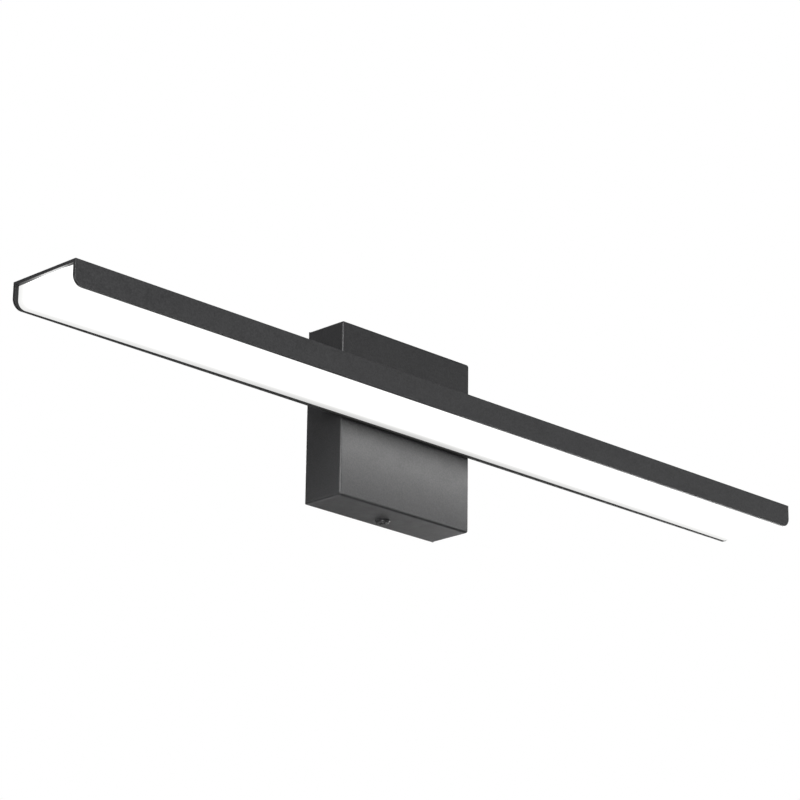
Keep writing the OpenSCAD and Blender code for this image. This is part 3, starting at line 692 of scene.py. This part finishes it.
# A pan head's low crown, round shoulder and straight rim, in shares of its radius and height
CROWN_R = 0.82
CROWN_H = 0.2
SHOULDER_R = 0.84
SHOULDER_TOP = 0.86
SHOULDER_FOOT = 0.28
RIM_FOOT = 0.06
SEAT_R = 0.97
# The cross recess, in shares of the head's width and height, and its arms' width as a share of its own
CROSS_SIZE = 0.65
CROSS_DEPTH = 0.8
CROSS_ARM = 0.19
# The lock screws, with the height of the CAD head and of the drawn one, and their washers
LOCK_HEAD_R = 4 * MM
LOCK_HEAD_H = 1.4 * MM
LOCK_HEAD_DRAWN_H = 1.38 * MM
LOCK_SHANK_R = 1.95 * MM
LOCK_WASHER_R = 4.7 * MM
LOCK_WASHER_BORE_R = 2.1 * MM
LOCK_WASHER_T = 0.5 * MM
# The bracket's ground screw
GROUND_HEAD_R = 4 * MM
GROUND_HEAD_H = 2.4 * MM
GROUND_SHANK_R = 1.98 * MM


def head_profile(radius, height):
    """A pan head's (radius, z) points from the middle of its top to its seat at z = 0."""
    points = []
    for i in range(1, 7):
        t = i / 7
        points.append((radius * CROWN_R * t, height * (1 - CROWN_H / 2 * t * t)))
    for i in range(7):
        a = math.radians(90 * i / 6)
        across = SHOULDER_R + (1 - SHOULDER_R) * math.sin(a)
        up = SHOULDER_FOOT + (SHOULDER_TOP - SHOULDER_FOOT) * math.cos(a)
        points.append((radius * across, height * up))
    points += [(radius, height * RIM_FOOT), (radius * SEAT_R, 0)]
    return points


def thread_rings(radius, length):
    """Rings down a right-hand threaded shank from z = 0, with a chamfered tip."""
    rings = []
    count = int(length / THREAD_PITCH * RINGS_PER_TURN)
    for i in range(count + 1):
        z = -length * i / count
        fade = min(1.0, i / RINGS_PER_TURN)
        tip = max(0.0, (i - count) / RINGS_PER_TURN + 0.6)
        ring = []
        for k in range(SCREW_SIDES):
            a = 2 * math.pi * k / SCREW_SIDES
            phase = (z / THREAD_PITCH - a / (2 * math.pi)) % 1
            r = radius - fade * THREAD_DEPTH * abs(2 * phase - 1) - tip * 0.5 * radius
            ring.append((r * math.cos(a), r * math.sin(a), z))
        rings.append(ring)
    return rings


def cross_tool(size, depth):
    """A cross whose arms taper towards the bottom, from z = 0.2 mm above to the given depth."""
    arm = CROSS_ARM
    shape = []
    for turn in range(4):
        c, s = ((1, 0), (0, 1), (-1, 0), (0, -1))[turn]
        for u, v in ((1, -arm), (1, arm), (arm, arm)):
            shape.append((u * c - v * s, u * s + v * c))
    levels = [(1.06, 0.2 * MM), (1.0, 0), (0.42, -depth)]
    rings = [[(x * size / 2 * k, y * size / 2 * k, z) for x, y in shape] for k, z in levels]
    return ring_surface("cross_tool", rings)


def make_screw(name, body, node, slot, seat, outward, sizes):
    """A pan head screw with a cross recess.

    Its sizes are the head's radius and height, and the shank's radius and length.
    """
    head_r, head_h, shank_r, shank_len = sizes
    rings = turn_profile(head_profile(head_r, head_h), SCREW_SIDES)
    rings += turn_profile([(shank_r, -0.02 * MM)], SCREW_SIDES)
    rings += thread_rings(shank_r, shank_len)[1:]
    screw = ring_surface(name, rings)
    tool = cross_tool(2 * head_r * CROSS_SIZE, head_h * CROSS_DEPTH)
    tool.data.transform(Matrix.Translation((0, 0, head_h * 0.99)))
    cut(screw, tool)
    shade_smooth(screw)
    screw.data.set_sharp_from_angle(angle=math.radians(38))
    place(screw, seat, outward)
    finish_piece(screw, body, node, slot)


def make_washer(name, body, seat, outward):
    """A lock screw's captive washer, with a rounded rim, closed round its bore."""
    radius, bore, thickness = LOCK_WASHER_R, LOCK_WASHER_BORE_R, LOCK_WASHER_T
    edge = thickness * 0.35
    section = [(bore, 0), (radius - edge, 0), (radius, edge), (radius, thickness - edge)]
    section += [(radius - edge, thickness), (bore, thickness)]
    rings = turn_profile(section, WASHER_SIDES)
    n = len(rings[0])
    verts = [p for ring in rings for p in ring]
    faces = []
    for i in range(len(rings)):
        j = (i + 1) % len(rings)
        faces += [(i * n + k, i * n + (k + 1) % n, j * n + (k + 1) % n, j * n + k) for k in range(n)]
    washer = add_object(name, verts, faces)
    shade_smooth(washer)
    washer.data.set_sharp_from_angle(angle=math.radians(50))
    place(washer, seat, outward)
    finish_piece(washer, body, body, "screw_black")


def make_lock_screws():
    """Both lock screws and their washers. Their nodes and bodies have the same names."""
    canopy_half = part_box("canopy")[1].z
    for side, sign in (("bottom", -1), ("top", 1)):
        outward = (0, 0, sign)
        screw = f"lock_screw_{side}"
        low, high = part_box(screw)
        seat = (0, LOCK_Y, sign * (canopy_half + LOCK_WASHER_T))
        sizes = (LOCK_HEAD_R, LOCK_HEAD_DRAWN_H, LOCK_SHANK_R, high.z - low.z - LOCK_HEAD_H)
        make_screw(f"{screw}_piece", screw, screw, "screw_black", seat, outward, sizes)
        washer_seat = (0, LOCK_Y, sign * canopy_half)
        make_washer(f"captive_washer_{side}", f"lock_washer_{side}", washer_seat, outward)


def make_ground_screw():
    node = "bracket_ground_screw"
    low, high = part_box(node)
    centre = (low + high) / 2
    seat = (centre.x, low.y + GROUND_HEAD_H, centre.z)
    sizes = (GROUND_HEAD_R, GROUND_HEAD_H, GROUND_SHANK_R, high.y - low.y - GROUND_HEAD_H)
    make_screw("ground_screw", "wall_bracket", node, "ground_green", seat, (0, -1, 0), sizes)


# ---------------------------------------------------------------- leads

# Places in mm: the driver board's front and its two lead rows, the terminal block's top and wire entries,
# and the barrel of the earth lug
BOARD_TOP_Y = -23.7
DRIVER_LEAD_Z = (30.5, 20.5)
BLOCK_TOP_Z = -17
ENTRY_Y = -22.8
EARTH_X = -38
BARREL_Y = -27.1


def driver_end(side, z):
    """A lead's end on the driver's board, up from the board and out through the end of the case, in mm."""
    lift_y = BOARD_TOP_Y + 4
    return [
        (side * 30, BOARD_TOP_Y + 0.4, z), (side * 30, BOARD_TOP_Y + 1.6, z),
        (side * 32.5, lift_y, z), (side * 41, lift_y, z),
    ]


def pole_end(x):
    """A lead's end inside one pole of the terminal block, in mm."""
    return [(x, ENTRY_Y, BLOCK_TOP_Z + dz) for dz in (1, -3, -7)]


LEAD_R = 1
LED_LEAD_R = 0.75

# Each lead's route, radius and finish, in mm
LEADS = {
    "live_lead": (
        driver_end(-1, DRIVER_LEAD_Z[0])
        + [(-47, -16, 24), (-48.5, -14, 10), (-44, -14, -4), (-28, -15, -9), (-14, -18, -11),
           (-9.5, -21, -14)]
        + pole_end(-9), LEAD_R, "lead_black"),
    "neutral_lead": (
        driver_end(-1, DRIVER_LEAD_Z[1])
        + [(-44, -17, 16), (-45, -16.5, 6), (-36, -17, -3), (-12, -17.5, -6.5), (4, -18.5, -8),
           (8.5, -21, -12)]
        + pole_end(9), LEAD_R, "lead_white"),
    "earth_lead": (
        [(EARTH_X, BARREL_Y, -29.5), (EARTH_X, BARREL_Y, -24.5), (-37.4, -27, -19), (-33, -27, -15.5),
         (-25, -27, -14), (-16, -27, -12), (-8, -27, -11.5), (-2, -25.5, -12.5)]
        + pole_end(0), LEAD_R, "lead_green"),
    "led_plus_lead": (
        driver_end(1, DRIVER_LEAD_Z[0])
        + [(47, -17, 24), (48, -15.5, 12), (43, -15, 1), (28, -15.5, -1.5), (10, -17, -2.2),
           (4.5, -19, -1.8), (1.4, -23.5, -0.4), (0.9, -27, 0), (0.9, -34, 0), (1.3, -38, 0),
           (3, -41.5, 0.5), (5, -43.5, 1.2)],
        LED_LEAD_R, "lead_red"),
    "led_minus_lead": (
        driver_end(1, DRIVER_LEAD_Z[1])
        + [(43, -18.5, 14), (42, -18, 6), (30, -18.5, 1.5), (8, -19.5, 1.4), (1, -21, 1.1),
           (-0.9, -24.5, 0.2), (-0.9, -27, 0), (-0.9, -34, 0), (-1.3, -38, 0), (-3, -41.5, 0.5),
           (-5, -43.5, 1.2)],
        LED_LEAD_R, "lead_black"),
}
LEAD_STEPS = 8
LEAD_SIDES = 16


def smooth_route(points):
    """A Catmull-Rom curve through the points."""
    route = [Vector(p) * MM for p in points]
    path = []
    last = len(route) - 1
    for i in range(last):
        a, b, c, d = route[max(i - 1, 0)], route[i], route[i + 1], route[min(i + 2, last)]
        for step in range(LEAD_STEPS):
            t = step / LEAD_STEPS
            square, cube = 2 * a - 5 * b + 4 * c - d, 3 * b - a - 3 * c + d
            path.append(b + t / 2 * ((c - a) + t * (square + t * cube)))
    path.append(route[last])
    return path


def make_lead(name, points, radius, slot):
    """A round wire along a smooth curve through the points, without twist."""
    path = smooth_route(points)
    normal = Vector((0.3, 0.2, 1))
    rings = []
    for i, point in enumerate(path):
        tangent = (path[min(i + 1, len(path) - 1)] - path[max(i - 1, 0)]).normalized()
        normal = (normal - normal.dot(tangent) * tangent).normalized()
        side = tangent.cross(normal)
        angles = [2 * math.pi * k / LEAD_SIDES for k in range(LEAD_SIDES)]
        rings.append([point + radius * MM * (math.cos(a) * normal + math.sin(a) * side) for a in angles])
    lead = ring_surface(f"{name}_wire", rings)
    shade_smooth(lead)
    lead.data.set_sharp_from_angle(angle=math.radians(60))
    finish_piece(lead, "fixture", name, slot)


# ---------------------------------------------------------------- build

make_bar_housing()
make_diffuser()
make_canopy()
make_spacer()
make_lock_screws()
make_ground_screw()
for lead_name, (lead_points, lead_radius, lead_slot) in LEADS.items():
    make_lead(lead_name, lead_points, lead_radius, lead_slot)


# ---------------------------------------------------------------- camera, floor and light

# The camera: its direction and roll in degrees, lens in mm and place
VIEW_AZIMUTH = -44.922
VIEW_ELEVATION = -19.051
VIEW_ROLL = 0.715
VIEW_LENS = 136.87
VIEW_FROM = Vector((-1.2426, -1.2701, -0.5884))

FLOOR_HALF = 30
FLOOR_Z = -3

# Each soft box's direction from the light bar and its power in watts
SOFT_BOXES = {
    "front_left": ((-0.67, -0.67, 0.33), 33),
    "front_right": ((0.668, -0.742, -0.052), 14),
    "low_front_left": ((-0.75, -0.65, -0.1), 42),
    "high_left": ((-0.7, 0.2, 0.7), 4.5),
    "back_left": ((-0.6, 0.75, -0.1), 7),
    "high_front": ((0, -0.6, 0.8), 16),
    "right": ((1, -0.1, 0.1), 8),
    "back_right": ((0.85, 0.5, -0.2), 12),
    "below_back": ((0.3, 0.6, -0.75), 13.3),
    "below_front": ((-0.4, -0.6, -0.7), 26),
    "back": ((0.1, 0.95, 0.3), 30),
}
SOFT_BOX_DISTANCE = 2.5
SOFT_BOX_DIAMETER = 0.9


def make_camera():
    data = bpy.data.cameras.new("camera")
    data.lens = VIEW_LENS
    data.sensor_width = 36
    data.clip_end = 20
    camera = bpy.data.objects.new("camera", data)
    bpy.context.scene.collection.objects.link(camera)
    a, e, r = (math.radians(v) for v in (VIEW_AZIMUTH, VIEW_ELEVATION, VIEW_ROLL))
    back = Vector((math.sin(a) * math.cos(e), -math.cos(a) * math.cos(e), math.sin(e)))
    right = Vector((math.cos(a), math.sin(a), 0))
    up = back.cross(right)
    turned = (math.cos(r) * right + math.sin(r) * up, math.cos(r) * up - math.sin(r) * right, back)
    camera.matrix_world = Matrix.Translation(VIEW_FROM) @ Matrix(turned).transposed().to_4x4()
    bpy.context.scene.camera = camera


def make_floor():
    """A pale floor that shows, but neither lights the object nor shades it."""
    corners = [(x * FLOOR_HALF, y * FLOOR_HALF, FLOOR_Z) for x, y in ((-1, -1), (1, -1), (1, 1), (-1, 1))]
    mesh = bpy.data.meshes.new("floor")
    mesh.from_pydata(corners, [], [(0, 1, 2, 3)])
    floor = bpy.data.objects.new("floor", mesh)
    bpy.context.scene.collection.objects.link(floor)
    material, _, shader = principled("pale_floor", (0.2, 0.2, 0.2), 0.8)
    shader.inputs["Emission Color"].default_value = (1, 1, 1, 1)
    shader.inputs["Emission Strength"].default_value = 0.8
    assign(floor, material)
    floor.visible_diffuse = False
    floor.visible_glossy = False
    floor.visible_shadow = False


def make_world():
    """White to the camera, and black to the object, whose light comes from the soft boxes."""
    world = bpy.data.worlds.new("studio")
    bpy.context.scene.world = world
    world.use_nodes = True
    tree = world.node_tree
    tree.nodes.clear()
    output = tree.nodes.new("ShaderNodeOutputWorld")
    seen = tree.nodes.new("ShaderNodeBackground")
    seen.inputs["Color"].default_value = (1, 1, 1, 1)
    lit = tree.nodes.new("ShaderNodeBackground")
    lit.inputs["Color"].default_value = (0, 0, 0, 1)
    path = tree.nodes.new("ShaderNodeLightPath")
    mix = tree.nodes.new("ShaderNodeMixShader")
    tree.links.new(path.outputs["Is Camera Ray"], mix.inputs["Fac"])
    tree.links.new(lit.outputs[0], mix.inputs[1])
    tree.links.new(seen.outputs[0], mix.inputs[2])
    tree.links.new(mix.outputs[0], output.inputs["Surface"])


def make_soft_boxes():
    for name, (direction, power) in SOFT_BOXES.items():
        toward = Vector(direction).normalized()
        data = bpy.data.lights.new(name, "AREA")
        data.shape = "DISK"
        data.size = SOFT_BOX_DIAMETER
        data.energy = power
        box = bpy.data.objects.new(name, data)
        box.location = toward * SOFT_BOX_DISTANCE
        box.rotation_euler = toward.to_track_quat("Z", "Y").to_euler()
        box.visible_camera = False
        bpy.context.scene.collection.objects.link(box)


make_camera()
make_floor()
make_world()
make_soft_boxes()
bpy.context.scene.view_settings.view_transform = "Standard"
